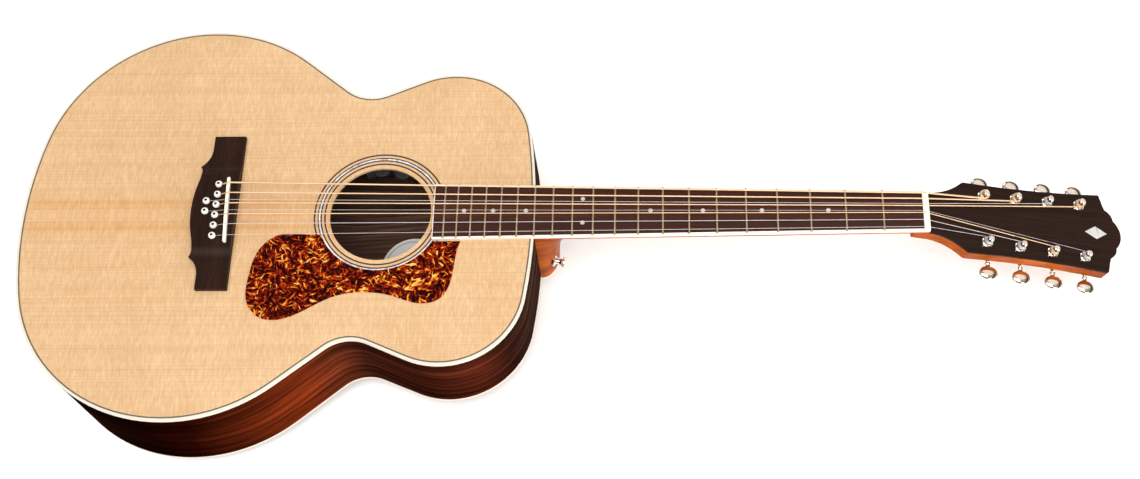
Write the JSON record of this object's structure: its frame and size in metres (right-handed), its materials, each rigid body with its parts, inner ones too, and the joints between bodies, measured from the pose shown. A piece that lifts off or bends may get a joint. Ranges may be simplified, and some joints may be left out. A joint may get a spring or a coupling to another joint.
{
  "type": "baritone acoustic guitar",
  "caption": "Flat-top baritone acoustic guitar with paired middle strings: arched back, wide rounded body, angled headstock, geared tuners that turn, thumbwheel controls in the soundhole.",
  "frame": {"origin": "middle of the bounding box, at the lowest point of the arched back", "axes": "+X along the neck towards the headstock, +Y towards the bass strings, +Z out of the soundboard"},
  "size_m": [1.1162, 0.4316, 0.145],
  "materials": {
    "spruce_top": "clear gloss lacquer over straight-grained spruce",
    "rosewood_body": "clear gloss lacquer over streaked rosewood",
    "mahogany": "clear gloss lacquer over mahogany",
    "spruce_inside": "bare spruce, sanded",
    "rosewood_bare": "oiled rosewood",
    "rosewood_gloss": "gloss lacquer over dark rosewood",
    "binding_white": "polished",
    "purfling_line": "polished, laid in dark and light lines",
    "rosette_inlay": "pearl between dark and light lines",
    "pearl": "polished shell",
    "tortoise": "polished, mottled amber and dark brown",
    "bone": "polished bone",
    "pin_plastic": "polished",
    "cap_plastic": "polished",
    "fret_metal": "polished nickel silver",
    "steel": "plain machined",
    "chrome": "mirror plated",
    "bronze_wound": "wound bronze wire",
    "plain_steel": "bright drawn wire",
    "black_plastic": "moulded",
    "wheel_plastic": "moulded, ribbed rim",
    "strip_film": "braided strip",
    "battery_case": "printed metal, left plain",
    "label_paper": "blank with a thin border"
  },
  "bodies": {
    "guitar": {"soundboard": "spruce_top", "rosette": "rosette_inlay", "back": "rosewood_body", "rib_bass": "rosewood_body", "rib_treble": "rosewood_body", "top_binding": "binding_white", "back_binding": "binding_white", "top_purfling": "purfling_line", "linings": "mahogany", "neck_block": "mahogany", "tail_block": "mahogany", "x_braces": "spruce_inside", "transverse_brace": "spruce_inside", "top_braces": "spruce_inside", "bridge_plate": "rosewood_bare", "pickguard": "tortoise", "bridge": "rosewood_bare", "saddle": "bone", "bridge_pins": "pin_plastic", "neck": "mahogany", "headstock_veneer": "rosewood_gloss", "headstock_inlay": "pearl", "fingerboard": "rosewood_bare", "fingerboard_binding": "binding_white", "frets": "fret_metal", "position_markers": "pearl", "nut": "bone", "truss_rod": "steel", "heel_cap": "cap_plastic", "strap_button": "chrome", "output_jack": "chrome", "tuner_housings": "chrome", "tuner_bushings": "chrome", "tuner_screws": "chrome", "wound_strings": "bronze_wound", "plain_strings": "plain_steel", "preamp_housing": "black_plastic", "battery": "battery_case", "pickup_strip": "strip_film", "wiring": "black_plastic", "label": "label_paper"},
    "knob_1": {"tuner_knob_1": "chrome"},
    "post_1": {"tuner_post_1": "chrome"},
    "knob_2": {"tuner_knob_2": "chrome"},
    "post_2": {"tuner_post_2": "chrome"},
    "knob_3": {"tuner_knob_3": "chrome"},
    "post_3": {"tuner_post_3": "chrome"},
    "knob_4": {"tuner_knob_4": "chrome"},
    "post_4": {"tuner_post_4": "chrome"},
    "knob_5": {"tuner_knob_5": "chrome"},
    "post_5": {"tuner_post_5": "chrome"},
    "knob_6": {"tuner_knob_6": "chrome"},
    "post_6": {"tuner_post_6": "chrome"},
    "knob_7": {"tuner_knob_7": "chrome"},
    "post_7": {"tuner_post_7": "chrome"},
    "knob_8": {"tuner_knob_8": "chrome"},
    "post_8": {"tuner_post_8": "chrome"},
    "volume_wheel": {"volume_wheel": "wheel_plastic"},
    "tone_wheel": {"tone_wheel": "wheel_plastic"},
    "truss_nut": {"truss_rod_nut": "steel"}
  },
  "joints": [
    {"name": "knob_1_turn", "type": "hinge", "parent": "guitar", "child": "knob_1", "pos_m": [0.41866, 0.049, 0.08911], "axis": [0, 1, 0], "continuous": true},
    {"name": "post_1_turn", "type": "hinge", "parent": "guitar", "child": "post_1", "pos_m": [0.41623, 0.025, 0.11014], "axis": [0.2689, 0, 0.9632], "continuous": true},
    {"name": "knob_2_turn", "type": "hinge", "parent": "guitar", "child": "knob_2", "pos_m": [0.45218, 0.05, 0.07975], "axis": [0, 1, 0], "continuous": true},
    {"name": "post_2_turn", "type": "hinge", "parent": "guitar", "child": "post_2", "pos_m": [0.44975, 0.02617, 0.10078], "axis": [0.2689, 0, 0.9632], "continuous": true},
    {"name": "knob_3_turn", "type": "hinge", "parent": "guitar", "child": "knob_3", "pos_m": [0.4857, 0.0515, 0.07039], "axis": [0, 1, 0], "continuous": true},
    {"name": "post_3_turn", "type": "hinge", "parent": "guitar", "child": "post_3", "pos_m": [0.48327, 0.02734, 0.09142], "axis": [0.2689, 0, 0.9632], "continuous": true},
    {"name": "knob_4_turn", "type": "hinge", "parent": "guitar", "child": "knob_4", "pos_m": [0.51922, 0.0526, 0.06103], "axis": [0, 1, 0], "continuous": true},
    {"name": "post_4_turn", "type": "hinge", "parent": "guitar", "child": "post_4", "pos_m": [0.51678, 0.02851, 0.08206], "axis": [0.2689, 0, 0.9632], "continuous": true},
    {"name": "knob_5_turn", "type": "hinge", "parent": "guitar", "child": "knob_5", "pos_m": [0.41866, -0.049, 0.08911], "axis": [0, -1, 0], "continuous": true},
    {"name": "post_5_turn", "type": "hinge", "parent": "guitar", "child": "post_5", "pos_m": [0.41623, -0.025, 0.11014], "axis": [0.2689, 0, 0.9632], "continuous": true},
    {"name": "knob_6_turn", "type": "hinge", "parent": "guitar", "child": "knob_6", "pos_m": [0.45218, -0.05, 0.07975], "axis": [0, -1, 0], "continuous": true},
    {"name": "post_6_turn", "type": "hinge", "parent": "guitar", "child": "post_6", "pos_m": [0.44975, -0.02617, 0.10078], "axis": [0.2689, 0, 0.9632], "continuous": true},
    {"name": "knob_7_turn", "type": "hinge", "parent": "guitar", "child": "knob_7", "pos_m": [0.4857, -0.0515, 0.07039], "axis": [0, -1, 0], "continuous": true},
    {"name": "post_7_turn", "type": "hinge", "parent": "guitar", "child": "post_7", "pos_m": [0.48327, -0.02734, 0.09142], "axis": [0.2689, 0, 0.9632], "continuous": true},
    {"name": "knob_8_turn", "type": "hinge", "parent": "guitar", "child": "knob_8", "pos_m": [0.51922, -0.0526, 0.06103], "axis": [0, -1, 0], "continuous": true},
    {"name": "post_8_turn", "type": "hinge", "parent": "guitar", "child": "post_8", "pos_m": [0.51678, -0.02851, 0.08206], "axis": [0.2689, 0, 0.9632], "continuous": true},
    {"name": "volume_turn", "type": "hinge", "parent": "guitar", "child": "volume_wheel", "pos_m": [-0.18548, 0.05388, 0.12387], "axis": [0, 0, 1], "range_deg": [-135, 135]},
    {"name": "tone_turn", "type": "hinge", "parent": "guitar", "child": "tone_wheel", "pos_m": [-0.16388, 0.0509, 0.12387], "axis": [0, 0, 1], "range_deg": [-135, 135]},
    {"name": "truss_nut_turn", "type": "hinge", "parent": "guitar", "child": "truss_nut", "pos_m": [-0.09785, 0, 0.1222], "axis": [-0.9999, 0, 0.0105], "range_deg": [-180, 180]}
  ],
  "couplings": [
    {"joint": "post_1_turn", "follows": "knob_1_turn", "ratio": 0.055556},
    {"joint": "post_2_turn", "follows": "knob_2_turn", "ratio": 0.055556},
    {"joint": "post_3_turn", "follows": "knob_3_turn", "ratio": 0.055556},
    {"joint": "post_4_turn", "follows": "knob_4_turn", "ratio": 0.055556},
    {"joint": "post_5_turn", "follows": "knob_5_turn", "ratio": 0.055556},
    {"joint": "post_6_turn", "follows": "knob_6_turn", "ratio": 0.055556},
    {"joint": "post_7_turn", "follows": "knob_7_turn", "ratio": 0.055556},
    {"joint": "post_8_turn", "follows": "knob_8_turn", "ratio": 0.055556}
  ]
}
